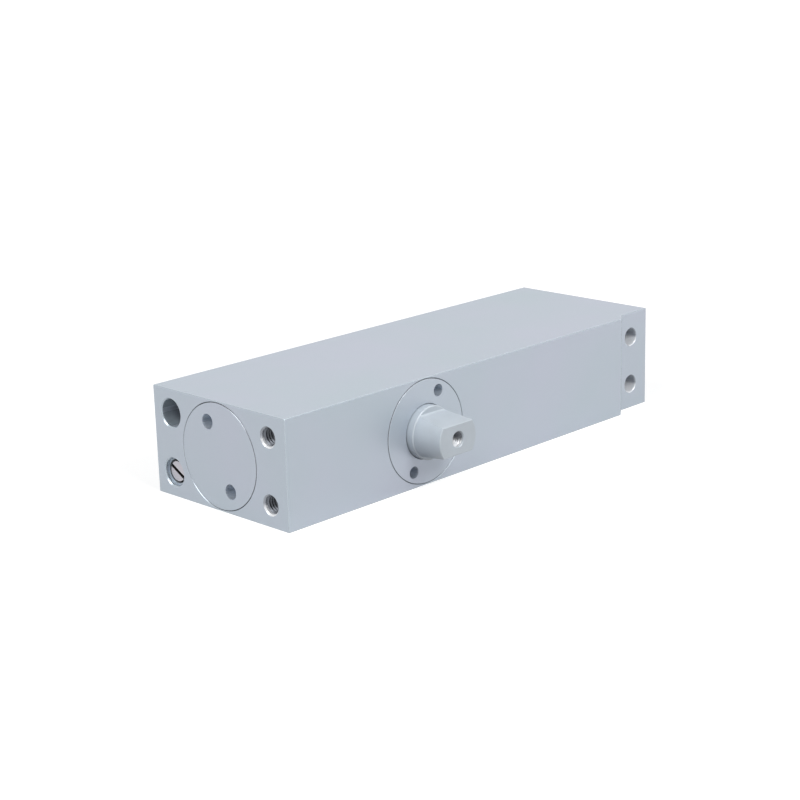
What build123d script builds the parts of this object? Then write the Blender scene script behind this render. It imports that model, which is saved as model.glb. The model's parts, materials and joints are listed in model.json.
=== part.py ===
from build123d import *
import os
from math import asin, cos, floor, pi, radians, sin, sqrt, tan

# Concealed pivot hinge: a hydraulic closer body that hides in the bottom rail of a door.
# Its spindle stands on the floor pivot, and the body swings round it with the door.
# All lengths are in millimetres and all angles in degrees.
# +X runs along the body to the fixing lug, -Y is the way the spindle points, and +Z is up
# with the body lying on its wide face. The origin is on the spindle axis, in the plane of
# the face that the spindle comes out of, at half the body's thickness.

# Body
body_length = 183.0
body_width = 62.5
body_thickness = 36.0
edge_radius = 0.3
spindle_from_near_end = 60.8
far_wall = 25.0
countersink_angle = 90.0

# Fixing lug at the far end
lug_length = 19.6
lug_step = 3.6
lug_ramp = 5.0
lug_hole_radius = 3.2
lug_hole_spacing = 17.8
lug_hole_from_end = 9.3
lug_hole_chamfer = 0.2

# Tapped fixing holes in the near end, M6
fixing_thread_radius = 3.0
fixing_hole_depth = 14.0
fixing_hole_spacing = 21.6
fixing_hole_from_bore = 23.4
fixing_hole_chamfer = 0.5

# Clearances
running_clearance = 0.08
seat_clearance = 0.02
face_clearance = 0.2
seal_clearance = 0.1

# Screwed closures: the end plug and the spindle cap
closure_wall = 0.5
closure_gap = 0.15
closure_chamfer = 0.12
closure_mouth_chamfer = 0.18
closure_shoulder = 0.4
closure_seal_wire_radius = 0.95
end_plug_thickness = 12.0
plug_spanner_radius = 2.5
plug_spanner_depth = 5.0
plug_spanner_from_rim = 5.9
plug_spanner_angle = 65.8
cap_spanner_radius = 2.05
cap_spanner_depth = 5.0
cap_spanner_from_rim = 3.6
cap_spanner_angle = 64.2
cap_bore_clearance = 0.2

# Spindle, from its tip inwards
tip_reach = 14.0
collar_reach = 2.7
collar_radius = 9.0
collar_bevel = 0.3
tip_taper = 0.2
flat_width_at_collar = 13.2
flat_width_at_tip = 10.2
flat_root_bevel = 0.4
tip_chamfer = 0.2
tip_thread_radius = 2.5
tip_thread_depth = 12.0
tip_thread_chamfer = 0.3
journal_step = 0.5
tail_radius = 6.0

# Lip seal in the cap
lip_seal_wall = 2.5
lip_seal_width = 4.0
lip_seal_groove = 1.6
lip_seal_groove_width = 0.9

# Ball bearing behind the cap
bearing_width = 7.0
bearing_floor = 1.25
ball_radius = 2.0
ball_count = 12
race_shoulder_share = 0.7
cage_wall = 1.2
cage_rim = 0.5

# Needle bearing and thrust ball at the spindle's tail
needle_radius = 0.8
needle_count = 22
needle_cup_wall = 0.6
needle_cup_lip = 0.5
back_wall = 2.5
thrust_pad_radius = 5.0
thrust_pad_thickness = 2.5
thrust_ball_radius = 2.5

# Pinion and rack
tooth_module = 1.25
tooth_count = 11
pressure_angle = 25.0
tooth_root_clearance = 0.3
rack_addendum_share = 0.95
backlash = 0.14
flank_points = 5
opening_angle = 120.0

# Piston
piston_rest_gap = 6.5
piston_spring_wall = 14.0
slot_clearance = 1.0
oil_passage_radius = 2.0
piston_seal_width = 2.8
piston_seal_depth = 1.8
piston_seal_from_face = 4.0
spring_spigot_length = 5.0

# Check valve in the piston's near wall
check_chamber_radius = 4.0
check_seat_radius = 2.0
check_chamber_depth = 9.0
check_ball_radius = 3.0
check_retainer_thickness = 1.5
check_retainer_hole = 1.6
check_spring_wire_radius = 0.25
check_spring_radius = 2.0
check_spring_turns = 4

# Closing spring
spring_wire_radius = 2.2
spring_side_clearance = 0.8
spring_turns = 9
spring_seat_thickness = 3.0
spring_seat_hole_radius = 3.0

# Regulating valves and their oil ways
valve_from_back = 8.25
valve_spacing = 19.8
valve_recess_radius = 4.6
valve_recess_chamfer = 0.4
valve_head_radius = 3.95
valve_head_length = 12.5
valve_rim_step = 0.6
valve_rim_depth = 2.0
valve_slot_width = 1.2
valve_slot_depth = 1.6
valve_slot_angle = 29.0
valve_needle_radius = 2.0
valve_needle_length = 3.5
valve_needle_point = 2.0
valve_ring_wire_radius = 0.8
valve_ring_from_end = 2.4
valve_thread_pitch = 0.75
valve_turns_in = 0.8
latching_valve_depth = 1.5
closing_valve_depth = 9.0
gallery_radius = 1.25
gallery_beyond_piston = 4.0
port_radius = 1.25
port_plug_radius = 1.75
port_plug_depth = 4.0
port_plug_cover = 0.4

# Places along the body
near_end = -spindle_from_near_end
far_end = near_end + body_length
bore_depth = body_length - far_wall
bore_floor = near_end + bore_depth
lug_start = far_end - lug_length

# The main bore, the closures and the bearing seat share one set of radii
bore_y = body_width / 2
closure_radius = body_thickness / 2 - closure_wall
closure_mouth_radius = closure_radius + closure_mouth_chamfer
closure_seal_space = 2 * (closure_seal_wire_radius + seal_clearance)
closure_rim_radius = closure_radius - closure_seal_space
bore_radius = closure_rim_radius - closure_shoulder
cap_thickness = bore_y - bore_radius - bearing_floor - bearing_width
bearing_end = cap_thickness + bearing_width
journal_radius = collar_radius - journal_step
tip_root_radius = collar_radius - collar_bevel
tip_radius = tip_root_radius - tip_taper
ball_row_radius = (journal_radius + bore_radius) / 2
ball_row_y = cap_thickness + bearing_width / 2
cap_bore_radius = collar_radius + cap_bore_clearance
lip_seal_radius = collar_radius + lip_seal_wall

# The stack behind the main bore, from the back face inwards
bore_back = bore_y + bore_radius
thrust_pad_back = body_width - back_wall
thrust_pad_front = thrust_pad_back - thrust_pad_thickness
thrust_ball_y = thrust_pad_front - thrust_ball_radius - seat_clearance
pinion_start = bearing_end + face_clearance
pinion_end = bore_back + face_clearance
needle_cup_start = pinion_end + 2 * face_clearance
needle_cup_end = thrust_ball_y - face_clearance
tail_end = needle_cup_end - face_clearance
needle_race_radius = tail_radius + 2 * (needle_radius + running_clearance)
needle_cup_radius = needle_race_radius + needle_cup_wall
needle_row_radius = tail_radius + needle_radius + running_clearance

# Gear sizes
pitch_radius = tooth_module * tooth_count / 2
pinion_radius = pitch_radius + tooth_module
root_radius = pitch_radius - tooth_module - tooth_root_clearance
base_radius = pitch_radius * cos(radians(pressure_angle))
tooth_pitch = pi * tooth_module
rack_tip = pitch_radius - rack_addendum_share * tooth_module
rack_root = pinion_radius + tooth_root_clearance
travel = pitch_radius * radians(opening_angle)

# Piston, with its slot placed round the pinion for the closed door
piston_radius = bore_radius - running_clearance
slot_far = pinion_radius + slot_clearance
slot_near = -slot_far - travel
slot_floor = -slot_far
piston_near = near_end + end_plug_thickness + piston_rest_gap
piston_far = slot_far + piston_spring_wall
spring_seat_face = bore_floor - spring_seat_thickness
spring_radius = bore_radius - spring_side_clearance - spring_wire_radius
spigot_radius = spring_radius - spring_wire_radius - face_clearance

# Check valve: a 45 degree cone seats the ball
check_cone_start = piston_near + check_chamber_depth
check_cone_end = check_cone_start + check_chamber_radius - check_seat_radius
check_cone_apex = check_cone_start + check_chamber_radius
check_ball_x = check_cone_apex - (check_ball_radius + running_clearance) * sqrt(2)
check_spring_near = piston_near + check_retainer_thickness + face_clearance
check_spring_reach = check_ball_radius + check_spring_wire_radius + running_clearance
check_spring_far = check_ball_x - sqrt(check_spring_reach**2 - check_spring_radius**2)

# Valves
valve_y = body_width - valve_from_back
valve_bore_radius = valve_head_radius + running_clearance
valve_length = valve_head_length + valve_needle_length + valve_needle_point
valve_ring_root = valve_head_radius - 2 * valve_ring_wire_radius
valve_travel_in = valve_turns_in * valve_thread_pitch
gallery_end = piston_far + travel + gallery_beyond_piston
port_wall = sqrt(bore_radius**2 - (valve_spacing / 2) ** 2)
port_depth = body_width - bore_y - port_wall + port_radius

# Planes of the faces that are drilled, each looked at from outside
near_face = Plane(origin=(near_end, bore_y, 0), x_dir=(0, -1, 0), z_dir=(-1, 0, 0))
spindle_face = Plane.XZ
lug_face = Plane.XZ.offset(-lug_step)
back_face = Plane(origin=(0, body_width, 0), x_dir=(-1, 0, 0), z_dir=(0, 1, 0))

# The main bore's own axis, and the plane in which its turned pieces are drawn
bore_axis = Axis((0, bore_y, 0), (1, 0, 0))
bore_section = Plane(origin=(0, bore_y, 0), x_dir=(1, 0, 0), z_dir=(0, 0, 1))

# Each valve is known by its height, how deep its head lies and where its port is
closing_valve_z = valve_spacing / 2
latching_valve_z = -valve_spacing / 2
closing_head_x = near_end + closing_valve_depth
latching_head_x = near_end + latching_valve_depth
needle_middle = valve_head_length + valve_needle_length / 2
closing_port_x = closing_head_x + needle_middle
latching_port_x = latching_head_x + needle_middle
valve_bottom = valve_head_length + valve_needle_length + valve_travel_in

# The cross drillings in the back face: one at each valve's port and one at each gallery's end
port_places = [
    (-closing_port_x, closing_valve_z),
    (-gallery_end, closing_valve_z),
    (-latching_port_x, latching_valve_z),
    (-gallery_end, latching_valve_z),
]


def flank_angle(radius):
    """Angle from a tooth's middle to its flank, at a radius of the pinion."""
    at_pitch = pi / (2 * tooth_count) - backlash / (4 * pitch_radius)
    pitch_roll = tan(radians(pressure_angle)) - radians(pressure_angle)
    if radius <= base_radius:
        return at_pitch + pitch_roll
    tangent = sqrt(radius**2 - base_radius**2) / base_radius
    return at_pitch + pitch_roll - (tangent - asin(sqrt(1 - (base_radius / radius) ** 2)))


def polar(radius, angle):
    """A point of the pinion's section, with angles counted from the top."""
    return (radius * sin(angle), radius * cos(angle))


def valve_section(height):
    """The plane in which a valve's turned pieces are drawn, through its own axis."""
    return Plane(origin=(0, valve_y, height), x_dir=(1, 0, 0), z_dir=(0, 0, 1))


def valve_axis(height):
    """The axis of the valve at a height."""
    return Axis((0, valve_y, height), (1, 0, 0))


# Housing: a milled block with its bores, oil ways and fixing holes
with BuildPart() as housing:
    with BuildSketch(Plane.XY.offset(-body_thickness / 2)):
        with BuildLine():
            Polyline(
                (near_end, 0),
                (lug_start, 0),
                (lug_start + lug_ramp, lug_step),
                (far_end, lug_step),
                (far_end, body_width),
                (near_end, body_width),
                close=True,
            )
        make_face()
    extrude(amount=body_thickness)
    fillet(housing.edges(), radius=edge_radius)
    with Locations(near_face):
        CounterBoreHole(bore_radius, closure_radius, end_plug_thickness, bore_depth)
        CounterSinkHole(bore_radius, closure_mouth_radius, bore_depth, countersink_angle)
    with Locations(spindle_face):
        CounterBoreHole(bore_radius, closure_radius, cap_thickness, bearing_end)
        CounterSinkHole(bore_radius, closure_mouth_radius, bearing_end, countersink_angle)
        Hole(ball_row_radius, depth=bore_y)
    with Locations(Plane.XZ.offset(-bore_y)):
        Hole(slot_far, depth=needle_cup_start - bore_y)
        Hole(needle_cup_radius + seat_clearance, depth=needle_cup_end - bore_y)
        Hole(thrust_pad_radius + seat_clearance, depth=thrust_pad_back - bore_y)
    with Locations(near_face):
        with Locations((fixing_hole_from_bore, 0)):
            with GridLocations(0, fixing_hole_spacing, 1, 2):
                CounterSinkHole(
                    fixing_thread_radius,
                    fixing_thread_radius + fixing_hole_chamfer,
                    fixing_hole_depth,
                    countersink_angle,
                )
    with Locations(lug_face):
        with Locations((far_end - lug_hole_from_end, 0)):
            with GridLocations(0, lug_hole_spacing, 1, 2):
                CounterSinkHole(
                    lug_hole_radius,
                    lug_hole_radius + lug_hole_chamfer,
                    body_width,
                    countersink_angle,
                )
    for head_depth, height in (
        (closing_valve_depth, closing_valve_z),
        (latching_valve_depth, latching_valve_z),
    ):
        with Locations(near_face):
            with Locations((bore_y - valve_y, height)):
                CounterBoreHole(
                    valve_bore_radius, valve_recess_radius, head_depth, head_depth + valve_bottom
                )
                CounterSinkHole(
                    valve_bore_radius,
                    valve_recess_radius + valve_recess_chamfer,
                    head_depth,
                    countersink_angle,
                )
                Hole(gallery_radius, depth=gallery_end - near_end)
    with Locations(back_face):
        with Locations(*port_places):
            CounterBoreHole(port_radius, port_plug_radius, port_plug_depth, port_depth)

# Steel balls pressed into the mouths of the four cross drillings
with BuildPart(back_face.offset(-port_plug_cover - port_plug_radius)) as oilway_plugs:
    with Locations(*port_places):
        Sphere(port_plug_radius - seat_clearance)

# End plug: closes the main bore, with two blind holes for a pin spanner
with BuildPart() as end_plug:
    with BuildSketch(bore_section):
        with BuildLine():
            Polyline(
                (near_end, 0),
                (near_end, closure_radius - closure_gap),
                (near_end + end_plug_thickness - closure_seal_space, closure_radius - closure_gap),
                (near_end + end_plug_thickness - closure_seal_space, closure_rim_radius),
                (near_end + end_plug_thickness, closure_rim_radius),
                (near_end + end_plug_thickness, 0),
                close=True,
            )
        make_face()
    revolve(axis=bore_axis)
    chamfer(end_plug.faces().sort_by(Axis.X)[0].edges(), length=closure_chamfer)
    with Locations(near_face):
        with PolarLocations(
            closure_radius - plug_spanner_from_rim, 2, 180 - plug_spanner_angle
        ):
            Hole(plug_spanner_radius, depth=plug_spanner_depth)

# Ring that seals the end plug against the shoulder of its seat
with BuildPart() as end_plug_ring:
    with BuildSketch(bore_section):
        with Locations(
            (
                near_end + end_plug_thickness - closure_seal_space / 2,
                closure_rim_radius + closure_seal_space / 2,
            )
        ):
            Circle(closure_seal_wire_radius)
    revolve(axis=bore_axis)

# Spindle cap: holds the bearing and the lip seal
with BuildPart() as spindle_cap:
    with BuildSketch(Plane.XY):
        with BuildLine():
            Polyline(
                (cap_bore_radius, 0),
                (closure_radius - closure_gap, 0),
                (closure_radius - closure_gap, cap_thickness - closure_seal_space),
                (closure_rim_radius, cap_thickness - closure_seal_space),
                (closure_rim_radius, cap_thickness),
                (lip_seal_radius, cap_thickness),
                (lip_seal_radius, cap_thickness - lip_seal_width),
                (cap_bore_radius, cap_thickness - lip_seal_width),
                close=True,
            )
        make_face()
    revolve(axis=Axis.Y)
    chamfer(spindle_cap.faces().sort_by(Axis.Y)[0].edges(), length=closure_chamfer)
    with Locations(spindle_face):
        with PolarLocations(closure_radius - cap_spanner_from_rim, 2, cap_spanner_angle):
            Hole(cap_spanner_radius, depth=cap_spanner_depth)

# Ring that seals the spindle cap against the shoulder of its seat
with BuildPart() as spindle_cap_ring:
    with BuildSketch(Plane.XY):
        with Locations(
            (
                closure_rim_radius + closure_seal_space / 2,
                cap_thickness - closure_seal_space / 2,
            )
        ):
            Circle(closure_seal_wire_radius)
    revolve(axis=Axis.Y)

# Lip seal: a rubber ring, grooved on the oil side so that its lip can flex
with BuildPart() as lip_seal:
    with BuildSketch(Plane.XY):
        with BuildLine():
            Polyline(
                (collar_radius + seal_clearance, cap_thickness - lip_seal_width),
                (lip_seal_radius - seat_clearance, cap_thickness - lip_seal_width),
                (lip_seal_radius - seat_clearance, cap_thickness),
                (collar_radius + lip_seal_groove, cap_thickness),
                (collar_radius + lip_seal_groove, cap_thickness - lip_seal_width / 2),
                (
                    collar_radius + lip_seal_groove - lip_seal_groove_width,
                    cap_thickness - lip_seal_width / 2,
                ),
                (
                    collar_radius + lip_seal_groove - lip_seal_groove_width,
                    cap_thickness - face_clearance,
                ),
                (collar_radius + seal_clearance, cap_thickness - face_clearance),
                close=True,
            )
        make_face()
    revolve(axis=Axis.Y)

# Ball bearing, outer ring: held between the cap and the floor of its seat
race_half_gap = race_shoulder_share * ball_radius
with BuildPart() as bearing_outer_ring:
    with BuildSketch(Plane.XY):
        with BuildLine():
            Polyline(
                (ball_row_radius + race_half_gap, cap_thickness),
                (bore_radius - seat_clearance, cap_thickness),
                (bore_radius - seat_clearance, bearing_end),
                (ball_row_radius + race_half_gap, bearing_end),
                close=True,
            )
        make_face()
        with Locations((ball_row_radius, ball_row_y)):
            Circle(ball_radius + running_clearance, mode=Mode.SUBTRACT)
    revolve(axis=Axis.Y)

# Ball bearing, inner ring: turns with the spindle's journal
with BuildPart() as bearing_inner_ring:
    with BuildSketch(Plane.XY):
        with BuildLine():
            Polyline(
                (journal_radius + seat_clearance, cap_thickness + face_clearance),
                (ball_row_radius - race_half_gap, cap_thickness + face_clearance),
                (ball_row_radius - race_half_gap, bearing_end),
                (journal_radius + seat_clearance, bearing_end),
                close=True,
            )
        make_face()
        with Locations((ball_row_radius, ball_row_y)):
            Circle(ball_radius + running_clearance, mode=Mode.SUBTRACT)
    revolve(axis=Axis.Y)

# Ball bearing, balls
with BuildPart(Plane.XZ.offset(-ball_row_y)) as bearing_balls:
    with PolarLocations(ball_row_radius, ball_count):
        Sphere(ball_radius)

# Ball bearing, cage: a ring with one round pocket for each ball
cage_length = 2 * (ball_radius + running_clearance + cage_rim)
with BuildPart(Plane.XZ.offset(-ball_row_y)) as ball_cage:
    Cylinder(ball_row_radius + cage_wall / 2, cage_length)
    Cylinder(ball_row_radius - cage_wall / 2, cage_length, mode=Mode.SUBTRACT)
    with PolarLocations(ball_row_radius, ball_count):
        Cylinder(
            ball_radius + running_clearance,
            2 * cage_wall,
            rotation=(0, 90, 0),
            mode=Mode.SUBTRACT,
        )

# Needle bearing, drawn cup with an inturned lip at each end
with BuildPart() as needle_cup:
    with BuildSketch(Plane.XY):
        with BuildLine():
            Polyline(
                (needle_row_radius, needle_cup_start),
                (needle_cup_radius, needle_cup_start),
                (needle_cup_radius, needle_cup_end),
                (needle_row_radius, needle_cup_end),
                (needle_row_radius, needle_cup_end - needle_cup_lip),
                (needle_race_radius, needle_cup_end - needle_cup_lip),
                (needle_race_radius, needle_cup_start + needle_cup_lip),
                (needle_row_radius, needle_cup_start + needle_cup_lip),
                close=True,
            )
        make_face()
    revolve(axis=Axis.Y)

# Needle bearing, rollers
needle_start = needle_cup_start + needle_cup_lip + face_clearance
needle_end = needle_cup_end - needle_cup_lip - face_clearance
with BuildPart() as needle_rollers:
    with BuildSketch(Plane.XZ.offset(-needle_start)):
        with PolarLocations(needle_row_radius, needle_count):
            Circle(needle_radius)
    extrude(amount=needle_start - needle_end)

# Hardened pad at the bottom of the blind bore, and the ball that carries the door's weight
with BuildPart() as thrust_pad:
    with BuildSketch(Plane.XZ.offset(-thrust_pad_front)):
        Circle(thrust_pad_radius)
    extrude(amount=-thrust_pad_thickness)
    chamfer(thrust_pad.edges().group_by(Axis.Y)[0], length=face_clearance)

with BuildPart(Plane.XZ.offset(-thrust_ball_y)) as thrust_ball:
    Sphere(thrust_ball_radius)

# Spindle: tapered double-D tip, collar, journal, pinion and tail in one piece
with BuildPart() as spindle:
    with BuildSketch(Plane.XY):
        with BuildLine():
            Polyline(
                (0, -tip_reach),
                (tip_radius - tip_chamfer, -tip_reach),
                (tip_radius, -tip_reach + tip_chamfer),
                (tip_root_radius, -collar_reach),
                (collar_radius, -collar_reach + collar_bevel),
                (collar_radius, cap_thickness),
                (journal_radius, cap_thickness),
                (journal_radius, bearing_end),
                (root_radius, pinion_start),
                (root_radius, pinion_end),
                (tail_radius, pinion_end),
                (tail_radius, tail_end),
                (0, tail_end),
                close=True,
            )
        make_face()
    revolve(axis=Axis.Y)
    with BuildSketch(Plane.YZ):
        with BuildLine():
            Polyline(
                (-collar_reach, flat_width_at_collar / 2 + flat_root_bevel),
                (-collar_reach - flat_root_bevel, flat_width_at_collar / 2),
                (-tip_reach + tip_chamfer, flat_width_at_tip / 2),
                (-tip_reach, flat_width_at_tip / 2 - tip_chamfer),
                (-tip_reach, 2 * collar_radius),
                (-collar_reach, 2 * collar_radius),
                close=True,
            )
        make_face()
        mirror(about=Plane.XZ)
    extrude(amount=2 * collar_radius, both=True, mode=Mode.SUBTRACT)
    with Locations(Plane.XZ.offset(tip_reach)):
        CounterSinkHole(
            tip_thread_radius,
            tip_thread_radius + tip_thread_chamfer,
            tip_thread_depth,
            countersink_angle,
        )
    with BuildSketch(Plane.XZ.offset(-pinion_start)):
        for tooth in range(tooth_count):
            middle = 2 * pi * tooth / tooth_count
            step = (pinion_radius - base_radius) / flank_points
            radii = [base_radius + step * point for point in range(flank_points + 1)]
            rising = [polar(r, middle - flank_angle(r)) for r in radii]
            falling = [polar(r, middle + flank_angle(r)) for r in reversed(radii)]
            foot_radius = root_radius - tooth_root_clearance
            foot_start = polar(foot_radius, middle - flank_angle(base_radius))
            foot_end = polar(foot_radius, middle + flank_angle(base_radius))
            with BuildLine():
                Line(foot_start, rising[0])
                Spline(rising)
                ThreePointArc(rising[-1], polar(pinion_radius, middle), falling[0])
                Spline(falling)
                Line(falling[-1], foot_end)
                Line(foot_end, foot_start)
            make_face()
    extrude(amount=pinion_start - pinion_end)
    with Locations((0, thrust_ball_y, 0)):
        Sphere(thrust_ball_radius + seat_clearance, mode=Mode.SUBTRACT)

# Piston: slotted for the pinion, with the rack cut along the slot's upper side
rack_slope = tan(radians(pressure_angle))
rack_half_pitch = (tooth_pitch - backlash) / 4
rack_half_tip = rack_half_pitch - rack_slope * (pitch_radius - rack_tip)
rack_half_root = rack_half_pitch + rack_slope * (rack_root - pitch_radius)
rack_first = -floor((-slot_near - rack_half_root) / tooth_pitch - 0.5) - 1
rack_last = floor((slot_far - rack_half_root) / tooth_pitch - 0.5)
with BuildPart() as piston:
    with BuildSketch(bore_section):
        with BuildLine():
            Polyline(
                (piston_near, 0),
                (piston_near, piston_radius),
                (piston_far, piston_radius),
                (piston_far, spigot_radius),
                (piston_far + spring_spigot_length, spigot_radius),
                (piston_far + spring_spigot_length, 0),
                close=True,
            )
        make_face()
        with BuildLine():
            Polyline(
                (piston_near, 0),
                (piston_near, check_chamber_radius),
                (check_cone_start, check_chamber_radius),
                (check_cone_end, check_seat_radius),
                (slot_near, check_seat_radius),
                (slot_near, 0),
                close=True,
            )
        make_face(mode=Mode.SUBTRACT)
        with Locations(
            (piston_near + piston_seal_from_face + piston_seal_width / 2, piston_radius)
        ):
            Rectangle(
                piston_seal_width + 2 * seal_clearance, 2 * piston_seal_depth, mode=Mode.SUBTRACT
            )
    revolve(axis=bore_axis)
    with BuildSketch(Plane.XZ.offset(-bore_y)):
        with BuildLine():
            Polyline(
                (slot_near, slot_floor),
                (slot_far, slot_floor),
                (slot_far, rack_root),
                (slot_near, rack_root),
                close=True,
            )
        make_face()
        for tooth in range(rack_first, rack_last + 1):
            middle = (tooth + 0.5) * tooth_pitch
            with BuildLine():
                Polyline(
                    (middle - rack_half_tip, rack_tip),
                    (middle + rack_half_tip, rack_tip),
                    (middle + rack_half_root, rack_root),
                    (middle - rack_half_root, rack_root),
                    close=True,
                )
            make_face(mode=Mode.SUBTRACT)
    extrude(amount=bore_radius, both=True, mode=Mode.SUBTRACT)
    with Locations(Plane(origin=(piston_far + spring_spigot_length, bore_y, 0), z_dir=(1, 0, 0))):
        Hole(oil_passage_radius, depth=piston_spring_wall + spring_spigot_length)

# Piston seal: a ring in the groove of the near wall
with BuildPart() as piston_seal:
    with BuildSketch(bore_section):
        with Locations(
            (
                piston_near + piston_seal_from_face + piston_seal_width / 2,
                bore_radius - running_clearance - (piston_seal_depth - seal_clearance) / 2,
            )
        ):
            Rectangle(piston_seal_width, piston_seal_depth - seal_clearance)
    revolve(axis=bore_axis)

# Check valve: ball, spring and the ring that holds the spring in
with BuildPart(Plane(origin=(check_ball_x, bore_y, 0))) as check_ball:
    Sphere(check_ball_radius)

with BuildPart() as check_retainer:
    with BuildSketch(Plane.YZ.offset(piston_near)):
        with Locations((bore_y, 0)):
            Circle(check_chamber_radius - seat_clearance)
            Circle(check_retainer_hole, mode=Mode.SUBTRACT)
    extrude(amount=check_retainer_thickness)

check_spring_length = check_spring_far - check_spring_near - 2 * check_spring_wire_radius
with BuildPart() as check_spring:
    with BuildLine() as check_coil:
        Helix(
            pitch=check_spring_length / check_spring_turns,
            height=check_spring_length,
            radius=check_spring_radius,
            center=(check_spring_near + check_spring_wire_radius, bore_y, 0),
            direction=(1, 0, 0),
        )
    with BuildSketch(check_coil.line ^ 0):
        Circle(check_spring_wire_radius)
    sweep(is_frenet=True)

# Closing spring, ground flat at both ends, and the seat at the bottom of the bore
spring_length = spring_seat_face - piston_far
with BuildPart() as closing_spring:
    with BuildLine() as closing_coil:
        Helix(
            pitch=spring_length / spring_turns,
            height=spring_length,
            radius=spring_radius,
            center=(piston_far, bore_y, 0),
            direction=(1, 0, 0),
        )
    with BuildSketch(closing_coil.line ^ 0):
        Circle(spring_wire_radius)
    sweep(is_frenet=True)
    split(bisect_by=Plane.YZ.offset(piston_far + face_clearance), keep=Keep.TOP)
    split(bisect_by=Plane.YZ.offset(spring_seat_face - face_clearance), keep=Keep.BOTTOM)

with BuildPart() as spring_seat:
    with BuildSketch(bore_section):
        with BuildLine():
            Polyline(
                (bore_floor, spring_seat_hole_radius),
                (bore_floor, bore_radius - seat_clearance),
                (spring_seat_face, bore_radius - seat_clearance),
                (spring_seat_face, spigot_radius),
                (spring_seat_face - spring_spigot_length, spigot_radius),
                (spring_seat_face - spring_spigot_length, spring_seat_hole_radius),
                close=True,
            )
        make_face()
    revolve(axis=bore_axis)

# Regulating valves: a slotted screw with a needle point and a ring that seals it.
# The upper one sets the closing speed and lies deep, the lower one sets the latching speed.
valves = {}
valve_rings = {}
for name, head_x, height in (
    ("closing_valve", closing_head_x, closing_valve_z),
    ("latching_valve", latching_head_x, latching_valve_z),
):
    ring_x = head_x + valve_head_length - valve_ring_from_end
    ring_y = valve_ring_root + valve_ring_wire_radius + seal_clearance / 2
    with BuildPart() as valve:
        with BuildSketch(valve_section(height)):
            with BuildLine():
                Polyline(
                    (head_x, 0),
                    (head_x, valve_head_radius - valve_rim_step),
                    (head_x + valve_rim_depth, valve_head_radius - valve_rim_step),
                    (head_x + valve_rim_depth, valve_head_radius),
                    (head_x + valve_head_length, valve_head_radius),
                    (head_x + valve_head_length, valve_needle_radius),
                    (head_x + valve_head_length + valve_needle_length, valve_needle_radius / 2),
                    (head_x + valve_length, 0),
                    close=True,
                )
            make_face()
            with Locations((ring_x, valve_head_radius)):
                Rectangle(
                    2 * (valve_ring_wire_radius + seal_clearance),
                    4 * valve_ring_wire_radius,
                    mode=Mode.SUBTRACT,
                )
        revolve(axis=valve_axis(height))
        slot_face = Plane(origin=(head_x, valve_y, height), x_dir=(0, -1, 0), z_dir=(1, 0, 0))
        with BuildSketch(slot_face):
            Rectangle(2 * valve_head_radius, valve_slot_width, rotation=valve_slot_angle)
        extrude(amount=valve_slot_depth, mode=Mode.SUBTRACT)
    valves[name] = valve
    with BuildPart() as valve_ring:
        with BuildSketch(valve_section(height)):
            with Locations((ring_x, ring_y)):
                Circle(valve_ring_wire_radius)
        revolve(axis=valve_axis(height))
    valve_rings[name + "_ring"] = valve_ring

# Names and files
pieces = {
    "housing": housing,
    "oilway_plugs": oilway_plugs,
    "end_plug": end_plug,
    "end_plug_ring": end_plug_ring,
    "spindle_cap": spindle_cap,
    "spindle_cap_ring": spindle_cap_ring,
    "lip_seal": lip_seal,
    "bearing_outer_ring": bearing_outer_ring,
    "bearing_inner_ring": bearing_inner_ring,
    "bearing_balls": bearing_balls,
    "ball_cage": ball_cage,
    "needle_cup": needle_cup,
    "needle_rollers": needle_rollers,
    "thrust_pad": thrust_pad,
    "thrust_ball": thrust_ball,
    "spindle": spindle,
    "piston": piston,
    "piston_seal": piston_seal,
    "check_ball": check_ball,
    "check_retainer": check_retainer,
    "check_spring": check_spring,
    "closing_spring": closing_spring,
    "spring_seat": spring_seat,
    **valves,
    **valve_rings,
}
os.makedirs("parts", exist_ok=True)
for name, piece in pieces.items():
    piece.part.label = name
    export_step(piece.part, "parts/" + name + ".step")
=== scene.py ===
"""The looks of the concealed pivot hinge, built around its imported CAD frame, in metres."""

import json
from math import cos, pi, radians, sin

import bmesh
import bpy
from mathutils import Matrix, Vector


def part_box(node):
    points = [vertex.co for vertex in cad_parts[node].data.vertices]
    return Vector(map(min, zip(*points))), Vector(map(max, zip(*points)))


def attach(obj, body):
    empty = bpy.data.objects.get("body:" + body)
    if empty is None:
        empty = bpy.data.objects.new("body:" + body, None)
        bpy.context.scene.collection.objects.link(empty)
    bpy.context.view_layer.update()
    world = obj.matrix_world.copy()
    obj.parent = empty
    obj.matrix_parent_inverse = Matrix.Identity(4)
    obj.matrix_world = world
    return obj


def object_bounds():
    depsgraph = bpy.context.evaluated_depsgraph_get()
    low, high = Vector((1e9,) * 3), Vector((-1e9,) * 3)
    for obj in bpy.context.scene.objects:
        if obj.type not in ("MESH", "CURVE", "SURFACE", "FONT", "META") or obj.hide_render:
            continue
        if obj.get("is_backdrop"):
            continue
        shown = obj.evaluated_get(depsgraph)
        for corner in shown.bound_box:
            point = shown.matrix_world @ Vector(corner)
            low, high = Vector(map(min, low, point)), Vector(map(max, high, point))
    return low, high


MM = 0.001

# The photograph's camera, solved from the body's corners and the spindle's tip
FOCAL_PIXELS = 1794.6
PHOTO_WIDTH = 800
SENSOR_WIDTH = 36.0
CLIP_START = 0.01
CAMERA_PLACE = Vector((-0.400196, -0.383749, 0.168030))
CAMERA_AZIMUTH = radians(-45.358)
CAMERA_ELEVATION = radians(15.840)
CAMERA_ROLL = radians(-1.566)

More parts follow.
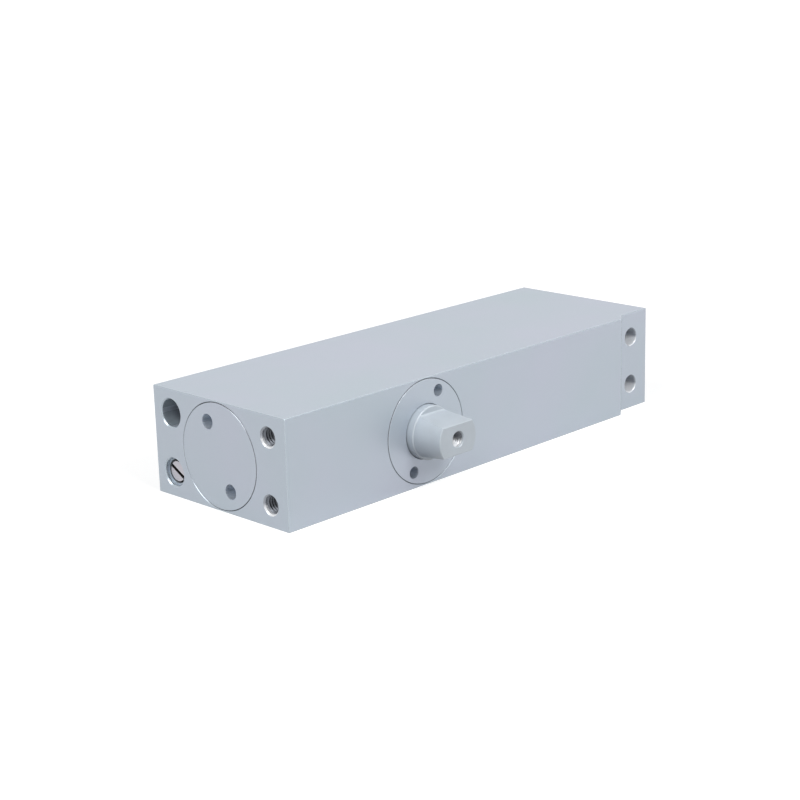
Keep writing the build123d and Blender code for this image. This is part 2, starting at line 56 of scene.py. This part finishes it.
# Threads of the tapped holes: pitch, crest radius and the depth that is cut
FIXING_THREAD_PITCH = 1.0 * MM
FIXING_THREAD_CREST = 2.46 * MM
FIXING_THREAD_DEPTH = 12.5 * MM
TIP_THREAD_PITCH = 0.8 * MM
TIP_THREAD_CREST = 2.07 * MM
TIP_THREAD_DEPTH = 10.5 * MM

# A thread's ridge: sections in a turn, how far it sinks into the wall, the turns over
# which it grows at its ends, its least share of the full height, and the share of the
# pitch that lies flat
THREAD_STEPS = 40
THREAD_SINK = 0.04 * MM
THREAD_FADE_TURNS = 0.6
THREAD_LEAST_HEIGHT = 0.02
THREAD_ROOT_FLAT = 0.12

# The body's coat and its clouds, the closures' edges with a painted highlight, the spindle,
# and the walls of the drilled holes: bare metal at the mouth, with painted shade on their
# upper sides and further in; the painted shade on the tip thread's lower sides and in the
# valves' slots, and the valves' heads
COAT = (0.47, 0.535, 0.59)
COAT_CLOUD = (0.495, 0.53, 0.61)
CLOSURE_EDGE_HIGHLIGHT = (0.64, 0.69, 0.75)
PLATED = (0.54, 0.595, 0.65)
BARE_METAL = (0.95, 0.97, 1.0)
UPPER_WALL_SHADE = (0.42, 0.45, 0.50)
DEEP_SHADE = (0.27, 0.29, 0.33)
THREAD_UNDERSIDE_SHADE = (0.16, 0.17, 0.19)
SLOT_SHADE = (0.045, 0.04, 0.04)
VALVE_HEAD = (0.56, 0.545, 0.59)
COAT_METALLIC = 0.45
COAT_ROUGHNESS = 0.45
BARE_METALLIC = 0.05
EDGE_ROUGHNESS = 0.25
# A surface counts as an edge where no part of its normal reaches this
SQUARE_NORMAL = 0.985

# Sizes of the coat's clouds and grain, and how deep the grain and the turning marks are
CLOUD_SIZE = 38 * MM
GRAIN_SIZE = 0.22 * MM
MARK_SIZE = 0.12 * MM
MARK_DEPTH = 0.004 * MM

# Masks of the holes' walls, by their least and greatest radius, and by the depths where a
# wall starts, is unshaded down to, and ends. A seam's radii are set off from its closure's,
# and a lug hole ends at the back. The painted shade on a wall is full at a few times its
# unshaded depth
FIXING_MASK = ((0, 3.6 * MM), (0.02 * MM, 0.8 * MM, 20 * MM))
LUG_RADII = (0, 3.5 * MM)
LUG_START = 0.02 * MM
LUG_UNSHADED_DEPTH = 12 * MM
VALVE_MASK = ((0, 4.7 * MM), (0.3 * MM, 3.0 * MM, 40 * MM))
SLOT_MASK = ((0, 5 * MM), (0.1 * MM, 0.03 * MM, 3 * MM))
SEAM_INSIDE = 0.09 * MM
SEAM_OUTSIDE = 0.2 * MM
SEAM_DEPTHS = (0.04 * MM, 0.02 * MM, 15 * MM)
RIM_OUTSIDE = 0.9 * MM
RIM_DEPTHS = (-0.2 * MM, 0.2 * MM, 2 * MM)
DARK_AT = 2.5

# Lamps: name, place, size and watts
LAMPS = (
    ("key_lamp", (-0.06, -1.3, 1.05), 0.7, 13.6),
    ("fill_lamp", (-1.18, 0.03, 1.19), 1.1, 13.6),
    ("top_lamp", (0.8, -0.45, 1.45), 1.8, 5.5),
)
LAMP_TARGET = Vector((0.03, 0.03, 0))

# Floor and world: how far the floor reaches, its diffuse colour, its glow near the object
# and far away with the two distances, and the world's level as a light
FLOOR_HALF = 3.0
FLOOR_GREY = 0.5
FLOOR_ROUGHNESS = 0.9
GLOW_NEAR, GLOW_FAR = 0.65, 1.0
GLOW_START, GLOW_END = 0.2, 1.0
WORLD_LEVEL = 0.25
WHITE_LEVEL = 1.0

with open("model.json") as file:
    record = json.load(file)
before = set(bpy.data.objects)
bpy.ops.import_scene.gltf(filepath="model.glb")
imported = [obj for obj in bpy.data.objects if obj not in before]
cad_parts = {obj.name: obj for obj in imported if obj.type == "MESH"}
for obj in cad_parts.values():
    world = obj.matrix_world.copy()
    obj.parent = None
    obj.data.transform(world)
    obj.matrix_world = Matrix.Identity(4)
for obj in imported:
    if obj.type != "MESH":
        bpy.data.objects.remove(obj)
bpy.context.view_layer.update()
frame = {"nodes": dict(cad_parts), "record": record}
nodes = frame["nodes"]
mounts = {mount["name"]: mount for mount in frame["record"]["mounts"]}
body_low, body_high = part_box("housing")


class Finish:
    """A procedural material: its shader, and short ways to add nodes to it."""

    def __init__(self, name, colour, metallic, roughness):
        self.material = bpy.data.materials.new(name)
        self.material.use_nodes = True
        self.tree = self.material.node_tree
        self.shader = self.tree.nodes["Principled BSDF"]
        self.shader.inputs["Base Color"].default_value = (*colour, 1)
        self.shader.inputs["Metallic"].default_value = metallic
        self.shader.inputs["Roughness"].default_value = roughness
        self.colour = colour
        self.roughness = roughness
        coordinates = self.node("ShaderNodeTexCoord")
        self.place = coordinates.outputs["Object"]
        self.facing = coordinates.outputs["Normal"]

    def node(self, kind, **settings):
        made = self.tree.nodes.new(kind)
        for key, value in settings.items():
            setattr(made, key, value)
        return made

    def link(self, source, target):
        self.tree.links.new(source, target)

    def math(self, operation, a, b=None):
        made = self.node("ShaderNodeMath", operation=operation)
        for socket, value in zip(made.inputs, (a, b)):
            if value is None:
                continue
            if isinstance(value, (int, float)):
                socket.default_value = value
            else:
                self.link(value, socket)
        return made.outputs[0]

    def remap(self, source, start, end, low, high, kind="LINEAR"):
        """Takes the source's range from start to end to the one from low to high."""
        made = self.node("ShaderNodeMapRange", interpolation_type=kind)
        made.inputs["From Min"].default_value = start
        made.inputs["From Max"].default_value = end
        made.inputs["To Min"].default_value = low
        made.inputs["To Max"].default_value = high
        self.link(source, made.inputs["Value"])
        return made.outputs[0]

    def spread(self, source, low, high):
        """The middle range of a noise, mapped to low and high."""
        return self.remap(source, 0.3, 0.7, low, high)

    def noise(self, size, detail, place=None):
        """Noise whose grains are about that size, in metres."""
        mapping = self.node("ShaderNodeMapping")
        mapping.inputs["Scale"].default_value = [1 / size] * 3
        self.link(place or self.place, mapping.inputs["Vector"])
        texture = self.node("ShaderNodeTexNoise")
        texture.inputs["Scale"].default_value = 1
        texture.inputs["Detail"].default_value = detail
        self.link(mapping.outputs[0], texture.inputs["Vector"])
        return texture.outputs["Fac"]

    def mix(self, kind, socket, plain, source, other):
        """Fades what feeds a socket of the shader to the other value, by the source."""
        mix = self.node("ShaderNodeMix", data_type=kind)
        old = self.shader.inputs[socket]
        mix.inputs["A"].default_value = plain
        mix.inputs["B"].default_value = other
        if old.is_linked:
            self.link(old.links[0].from_socket, mix.inputs["A"])
        self.link(source, mix.inputs["Factor"])
        self.link(mix.outputs["Result"], old)

    def vary_colour(self, source, other):
        """Fades the base colour to the other one where the source is high."""
        self.mix("RGBA", "Base Color", (*self.colour, 1), source, (*other, 1))

    def fade(self, socket, source, other):
        """Fades a plain value of the shader to the other one where the source is high."""
        self.mix("FLOAT", socket, self.shader.inputs[socket].default_value, source, other)

    def vary_roughness(self, source, swing):
        low, high = self.roughness - swing, self.roughness + swing
        self.link(self.spread(source, low, high), self.shader.inputs["Roughness"])

    def bump(self, source, depth, strength):
        made = self.node("ShaderNodeBump")
        made.inputs["Distance"].default_value = depth
        made.inputs["Strength"].default_value = strength
        self.link(source, made.inputs["Height"])
        self.link(made.outputs["Normal"], self.shader.inputs["Normal"])

    def turned_place(self, centre, axis):
        """Coordinates for turning marks: the radius from the axis, and the way along it."""
        move = self.node("ShaderNodeVectorMath", operation="SUBTRACT")
        self.link(self.place, move.inputs[0])
        move.inputs[1].default_value = centre
        split = self.node("ShaderNodeSeparateXYZ")
        self.link(move.outputs[0], split.inputs[0])
        across = [split.outputs[k] for k in range(3) if k != "XYZ".index(axis)]
        squares = [self.math("MULTIPLY", c, c) for c in across]
        radius = self.math("SQRT", self.math("ADD", *squares))
        join = self.node("ShaderNodeCombineXYZ")
        self.link(radius, join.inputs[0])
        self.link(split.outputs["XYZ".index(axis)], join.inputs[1])
        return join.outputs[0]

    def facing_down(self, low, high):
        """Falls from 1 to 0 as the surface's upward slant goes from low to high."""
        split = self.node("ShaderNodeSeparateXYZ")
        self.link(self.facing, split.inputs[0])
        return self.remap(split.outputs[2], low, high, 1, 0, "SMOOTHSTEP")

    def slanted(self):
        """1 where the surface isn't square to the object's axes: fillets and chamfers."""
        size = self.node("ShaderNodeVectorMath", operation="ABSOLUTE")
        self.link(self.facing, size.inputs[0])
        split = self.node("ShaderNodeSeparateXYZ")
        self.link(size.outputs[0], split.inputs[0])
        most = self.math("MAXIMUM", split.outputs[0], split.outputs[1])
        most = self.math("MAXIMUM", most, split.outputs[2])
        return self.math("LESS_THAN", most, SQUARE_NORMAL)

    def drilled(self, holes):
        """Two masks of the drilled holes: their walls, and the painted shade that grows with
        a wall's depth. A hole is a point on its mouth, the letter of its axis, its least and
        greatest
        radius, and three depths: where its wall starts, is unshaded down to, and ends."""
        walls, shade_mask = None, None
        for mouth, axis, (least, greatest), (start, unshaded_depth, end) in holes:
            split = self.node("ShaderNodeSeparateXYZ")
            self.link(self.turned_place(mouth, axis), split.inputs[0])
            radius, depth = split.outputs[0], split.outputs[1]
            within = self.math("GREATER_THAN", radius, least)
            for operation, value, limit in (
                ("LESS_THAN", radius, greatest),
                ("GREATER_THAN", depth, start),
                ("LESS_THAN", depth, end),
            ):
                within = self.math("MULTIPLY", within, self.math(operation, value, limit))
            fade = self.remap(depth, unshaded_depth, DARK_AT * unshaded_depth, 0, 1, "SMOOTHSTEP")
            deep = self.math("MULTIPLY", within, fade)
            walls = within if walls is None else self.math("MAXIMUM", walls, within)
            shade_mask = deep if shade_mask is None else self.math("MAXIMUM", shade_mask, deep)
        return walls, shade_mask


def silver_coat(name, edge, bare_holes, coated_holes, dull_rims):
    """Satin silver coating on machined aluminium, with a fine grain and faint clouds.
    Some holes are drilled after it is put on, so their walls are bright bare metal, with
    painted shade on their upper sides. All holes and seams take a painted shade further in.
    Chamfers are smoother, except on the rough rims, and take the edge colour, which on the
    closures is a painted highlight."""
    finish = Finish(name, COAT, COAT_METALLIC, COAT_ROUGHNESS)
    clouds = finish.noise(CLOUD_SIZE, 2)
    finish.vary_colour(finish.spread(clouds, 0, 1), COAT_CLOUD)
    grain = finish.noise(GRAIN_SIZE, 2)
    finish.vary_roughness(grain, 0.05)
    finish.bump(grain, MARK_DEPTH, 0.5)
    slanted = finish.slanted()
    smooth = finish.math("SUBTRACT", slanted, finish.drilled(dull_rims)[0])
    finish.fade("Roughness", finish.math("MAXIMUM", smooth, 0.0), EDGE_ROUGHNESS)
    # Chamfers, fillets and hole walls take the edge colour; on the closures it is a painted
    # highlight, brighter than the coat
    finish.vary_colour(slanted, edge)
    if bare_holes:
        walls, shade_mask = finish.drilled(bare_holes)
        finish.vary_colour(walls, BARE_METAL)
        finish.fade("Metallic", walls, BARE_METALLIC)
        # Painted shade on the walls' upper sides, which face down
        upper_shade = finish.math("MULTIPLY", walls, finish.facing_down(0.0, 0.35))
        finish.vary_colour(upper_shade, UPPER_WALL_SHADE)
        # Painted shade deeper in the drilled holes
        finish.vary_colour(shade_mask, DEEP_SHADE)
    # Painted shade deeper in the valve recesses and in the closures' seams
    finish.vary_colour(finish.drilled(coated_holes)[1], DEEP_SHADE)
    return finish


def turned_metal(name, colour, metallic, roughness, centre, axis):
    """Machined metal with fine turning marks round an axis."""
    finish = Finish(name, colour, metallic, roughness)
    marks = finish.noise(MARK_SIZE, 2, finish.turned_place(centre, axis))
    finish.vary_roughness(marks, 0.07)
    finish.bump(marks, MARK_DEPTH, 0.5)
    stains = finish.noise(6 * MM, 3)
    finish.vary_colour(finish.spread(stains, 0, 0.7), [0.9 * c for c in colour])
    return finish


def ground_metal(name, colour, roughness):
    """Ground or drawn metal, with fine marks and faint stains."""
    finish = Finish(name, colour, 1.0, roughness)
    marks = finish.noise(0.1 * MM, 3)
    finish.vary_roughness(marks, 0.06)
    finish.bump(marks, 0.002 * MM, 0.4)
    stains = finish.noise(4 * MM, 3)
    finish.vary_colour(finish.spread(stains, 0, 0.6), [0.86 * c for c in colour])
    return finish


def rubber(name, colour, roughness):
    """Moulded rubber or seal plastic, with a soft grain."""
    finish = Finish(name, colour, 0.0, roughness)
    grain = finish.noise(0.15 * MM, 3)
    finish.vary_roughness(grain, 0.06)
    finish.bump(grain, 0.006 * MM, 0.5)
    clouds = finish.noise(3 * MM, 3)
    finish.vary_colour(finish.spread(clouds, 0, 0.5), [1.25 * c for c in colour])
    return finish


def give(finish, *names):
    """Puts a finish on whole CAD nodes."""
    for name in names:
        mesh = nodes[name].data
        mesh.materials.clear()
        mesh.materials.append(finish.material)


def thread(name, mouth, outwards, pitch, crest, root, depth, finish, body):
    """The ridge of an internal thread: one closed strip that winds down a tapped hole."""
    outwards = Vector(outwards).normalized()
    side = outwards.orthogonal().normalized()
    other = outwards.cross(side)
    turns = depth / pitch
    steps = round(turns * THREAD_STEPS)
    flat = THREAD_ROOT_FLAT * pitch
    half = (pitch - flat) / 2
    mesh = bmesh.new()
    rings = []
    for step in range(steps + 1):
        turn = step / THREAD_STEPS
        angle = 2 * pi * turn
        fade = min(1, turn / THREAD_FADE_TURNS, (turns - turn) / THREAD_FADE_TURNS)
        top = root + (crest - root) * max(fade, THREAD_LEAST_HEIGHT)
        radial = side * cos(angle) + other * sin(angle)
        along = Vector(mouth) - outwards * (turn * pitch)
        corners = (
            (root + THREAD_SINK, -half),
            (root, -half),
            (top, -flat / 2),
            (top, flat / 2),
            (root, half),
            (root + THREAD_SINK, half),
        )
        rings.append([mesh.verts.new(along + radial * r - outwards * d) for r, d in corners])
    count = len(rings[0])
    for low, high in zip(rings, rings[1:]):
        for k in range(count):
            after = (k + 1) % count
            mesh.faces.new((low[k], low[after], high[after], high[k]))
    mesh.faces.new(rings[0][::-1])
    mesh.faces.new(rings[-1])
    bmesh.ops.recalc_face_normals(mesh, faces=mesh.faces)
    data = bpy.data.meshes.new(name)
    mesh.to_mesh(data)
    mesh.free()
    made = bpy.data.objects.new(name, data)
    bpy.context.scene.collection.objects.link(made)
    data.materials.append(finish.material)
    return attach(made, body)


def hole_pair(mount):
    """The two mouths of a mount's pair of holes, the upper one first."""
    centre = Vector(mount["pos_m"])
    step = Vector((0, 0, mount["dims"]["spacing_y_mm"] * MM / 2))
    return centre + step, centre - step


# Where the holes lie, for the masks of their walls
fixing = mounts["near_fixing_holes"]
fixing_mouths = hole_pair(fixing)
lug = mounts["lug_holes"]
lug_depth = body_high.y - lug["pos_m"][1]
lug_depths = (LUG_START, LUG_UNSHADED_DEPTH, lug_depth - LUG_START)
bare_holes = [(mouth, "X", *FIXING_MASK) for mouth in fixing_mouths]
bare_holes += [(mouth, "Y", LUG_RADII, lug_depths) for mouth in hole_pair(lug)]
coated_holes = []
slots = []
for name in ("closing_valve", "latching_valve"):
    valve_low, valve_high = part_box(name)
    middle = (valve_low + valve_high) / 2
    coated_holes.append(((body_low.x, middle.y, middle.z), "X", *VALVE_MASK))
    slots.append(((valve_low.x, middle.y, middle.z), "X", *SLOT_MASK))

# The seams of the two closures, which take a painted shade, and the rim of the cap, the last
# of them
for name, axis in (("end_plug", "X"), ("spindle_cap", "Y")):
    low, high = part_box(name)
    wall = (high.z - low.z) / 2
    middle = (low + high) / 2
    mouth = (low.x, middle.y, 0) if axis == "X" else (middle.x, low.y, 0)
    radii = (wall - SEAM_INSIDE, wall + SEAM_OUTSIDE)
    coated_holes.append((mouth, axis, radii, SEAM_DEPTHS))
cap_rim = [(mouth, axis, (wall - SEAM_INSIDE, wall + RIM_OUTSIDE), RIM_DEPTHS)]

# Finishes of the CAD nodes
spindle_axis = (0, 0, 0)
bore_axis = (0, (body_low.y + body_high.y) / 2, 0)
give(silver_coat("silver_coat", COAT, bare_holes, coated_holes, cap_rim), "housing")
# The closures' chamfers and the walls of their holes get a painted highlight
closure_coat = silver_coat("closure_coat", CLOSURE_EDGE_HIGHLIGHT, [], coated_holes, cap_rim)
give(closure_coat, "end_plug", "spindle_cap")
plated = turned_metal("plated_spindle", PLATED, 0.1, 0.36, spindle_axis, "Y")
# Painted shade: the spindle's lower side is darker
plated.vary_colour(plated.facing_down(-0.8, 0.3), [0.6 * c for c in PLATED])
give(plated, "spindle")
valve_metal = turned_metal("valve_metal", VALVE_HEAD, 0.5, 0.38, (0, 0, 0), "X")
# Painted shade in the valves' slots and on their heads' sides, behind their front faces
valve_metal.vary_colour(valve_metal.drilled(slots)[1], SLOT_SHADE)
give(valve_metal, "closing_valve", "latching_valve")
bearing_steel = ground_metal("bearing_steel", (0.62, 0.62, 0.63), 0.18)
give(
    bearing_steel,
    "bearing_outer_ring",
    "bearing_inner_ring",
    "bearing_balls",
    "needle_cup",
    "needle_rollers",
    "thrust_pad",
    "thrust_ball",
    "check_ball",
    "oilway_plugs",
)
spring_steel = ground_metal("spring_steel", (0.22, 0.225, 0.24), 0.38)
give(spring_steel, "closing_spring", "check_spring", "check_retainer", "spring_seat")
piston_metal = turned_metal("piston_metal", (0.42, 0.43, 0.45), 1.0, 0.3, bore_axis, "X")
give(piston_metal, "piston")
black_rubber = rubber("black_rubber", (0.022, 0.022, 0.024), 0.5)
give(
    black_rubber,
    "end_plug_ring",
    "spindle_cap_ring",
    "lip_seal",
    "closing_valve_ring",
    "latching_valve_ring",
)
seal_plastic = rubber("seal_plastic", (0.62, 0.58, 0.48), 0.42)
give(seal_plastic, "piston_seal")
brass = turned_metal("cage_brass", (0.62, 0.43, 0.18), 1.0, 0.28, spindle_axis, "Y")
give(brass, "ball_cage")

# Threads that can be seen in the tapped holes
bare_thread = ground_metal("bare_thread", (0.15, 0.16, 0.18), 0.4)
fixing_axis = Vector(fixing["axis"])
for mouth, word in zip(fixing_mouths, ("upper", "lower")):
    thread(
        word + "_fixing_thread",
        mouth - fixing_axis * FIXING_THREAD_PITCH,
        fixing_axis,
        FIXING_THREAD_PITCH,
        FIXING_THREAD_CREST,
        fixing["dims"]["hole_r_mm"] * MM,
        FIXING_THREAD_DEPTH - FIXING_THREAD_PITCH,
        bare_thread,
        "body",
    )
plated_thread = turned_metal("plated_thread", BARE_METAL, 0.2, 0.4, spindle_axis, "Y")
# Painted shade on the thread's downward-facing sides
plated_thread.vary_colour(plated_thread.facing_down(0.0, 0.5), THREAD_UNDERSIDE_SHADE)
tip = mounts["tip_screw"]
tip_axis = Vector(tip["axis"])
tip_mouth = Vector(tip["pos_m"]) + tip_axis * tip["dims"]["length_mm"] / 2 * MM
thread(
    "tip_thread",
    tip_mouth - tip_axis * TIP_THREAD_PITCH / 2,
    tip_axis,
    TIP_THREAD_PITCH,
    TIP_THREAD_CREST,
    tip["dims"]["r_mm"] * MM,
    TIP_THREAD_DEPTH,
    plated_thread,
    "spindle",
)

# Camera
back = Vector(
    (
        sin(CAMERA_AZIMUTH) * cos(CAMERA_ELEVATION),
        -cos(CAMERA_AZIMUTH) * cos(CAMERA_ELEVATION),
        sin(CAMERA_ELEVATION),
    )
)
level = Vector((cos(CAMERA_AZIMUTH), sin(CAMERA_AZIMUTH), 0))
upright = back.cross(level)
right = level * cos(CAMERA_ROLL) + upright * sin(CAMERA_ROLL)
up = upright * cos(CAMERA_ROLL) - level * sin(CAMERA_ROLL)
turn = Matrix((right, up, back)).transposed().to_4x4()
lens = bpy.data.cameras.new("camera")
lens.sensor_width = SENSOR_WIDTH
lens.lens = FOCAL_PIXELS / PHOTO_WIDTH * SENSOR_WIDTH
lens.clip_start = CLIP_START
camera = bpy.data.objects.new("camera", lens)
camera.matrix_world = Matrix.Translation(CAMERA_PLACE) @ turn
bpy.context.scene.collection.objects.link(camera)
bpy.context.scene.camera = camera


def seen_rays(tree):
    """1 for the rays that show the surroundings: to the camera, in metal and in glass."""
    path = tree.nodes.new("ShaderNodeLightPath")
    seen = path.outputs["Is Camera Ray"]
    for kind in ("Is Glossy Ray", "Is Transmission Ray"):
        either = tree.nodes.new("ShaderNodeMath")
        either.operation = "MAXIMUM"
        tree.links.new(seen, either.inputs[0])
        tree.links.new(path.outputs[kind], either.inputs[1])
        seen = either.outputs[0]
    return seen


def floor_material():
    """A pale floor that the camera sees as white, with a faint shadow on it."""
    made = bpy.data.materials.new("floor_white")
    made.use_nodes = True
    tree = made.node_tree
    shader = tree.nodes["Principled BSDF"]
    shader.inputs["Base Color"].default_value = (FLOOR_GREY, FLOOR_GREY, FLOOR_GREY, 1)
    shader.inputs["Roughness"].default_value = FLOOR_ROUGHNESS
    shader.inputs["Specular IOR Level"].default_value = 0.0
    place = tree.nodes.new("ShaderNodeTexCoord")
    far = tree.nodes.new("ShaderNodeVectorMath")
    far.operation = "LENGTH"
    tree.links.new(place.outputs["Object"], far.inputs[0])
    glow_range = tree.nodes.new("ShaderNodeMapRange")
    glow_range.inputs["From Min"].default_value = GLOW_START
    glow_range.inputs["From Max"].default_value = GLOW_END
    glow_range.inputs["To Min"].default_value = GLOW_NEAR
    glow_range.inputs["To Max"].default_value = GLOW_FAR
    tree.links.new(far.outputs["Value"], glow_range.inputs["Value"])
    strength = tree.nodes.new("ShaderNodeMath")
    strength.operation = "MULTIPLY"
    tree.links.new(seen_rays(tree), strength.inputs[0])
    tree.links.new(glow_range.outputs[0], strength.inputs[1])
    glow = tree.nodes.new("ShaderNodeEmission")
    glow.inputs["Color"].default_value = (1, 1, 1, 1)
    tree.links.new(strength.outputs[0], glow.inputs["Strength"])
    add = tree.nodes.new("ShaderNodeAddShader")
    tree.links.new(shader.outputs[0], add.inputs[0])
    tree.links.new(glow.outputs[0], add.inputs[1])
    tree.links.new(add.outputs[0], tree.nodes["Material Output"].inputs["Surface"])
    return made


def lamp(name, place, size, watts):
    """A round soft lamp that faces the object."""
    data = bpy.data.lights.new(name, "AREA")
    data.shape = "DISK"
    data.size = size
    data.energy = watts
    made = bpy.data.objects.new(name, data)
    made.location = place
    made.rotation_mode = "QUATERNION"
    made.rotation_quaternion = (Vector(place) - LAMP_TARGET).to_track_quat("Z", "Y")
    bpy.context.scene.collection.objects.link(made)


# Floor
floor_mesh = bpy.data.meshes.new("floor")
signs = ((-1, -1), (1, -1), (1, 1), (-1, 1))
corners = [(x * FLOOR_HALF, y * FLOOR_HALF, body_low.z) for x, y in signs]
floor_mesh.from_pydata(corners, [], [(0, 1, 2, 3)])
floor_mesh.materials.append(floor_material())
floor = bpy.data.objects.new("floor", floor_mesh)
bpy.context.scene.collection.objects.link(floor)
floor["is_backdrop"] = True

# World
world = bpy.data.worlds.new("studio")
bpy.context.scene.world = world
world.use_nodes = True
world_tree = world.node_tree
sky = world_tree.nodes["Background"]
sky.inputs["Color"].default_value = (1, 1, 1, 1)
level_mix = world_tree.nodes.new("ShaderNodeMapRange")
level_mix.inputs["To Min"].default_value = WORLD_LEVEL
level_mix.inputs["To Max"].default_value = WHITE_LEVEL
world_tree.links.new(seen_rays(world_tree), level_mix.inputs["Value"])
world_tree.links.new(level_mix.outputs[0], sky.inputs["Strength"])

for settings in LAMPS:
    lamp(*settings)

bpy.context.scene.view_settings.view_transform = "Standard"

low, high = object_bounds()
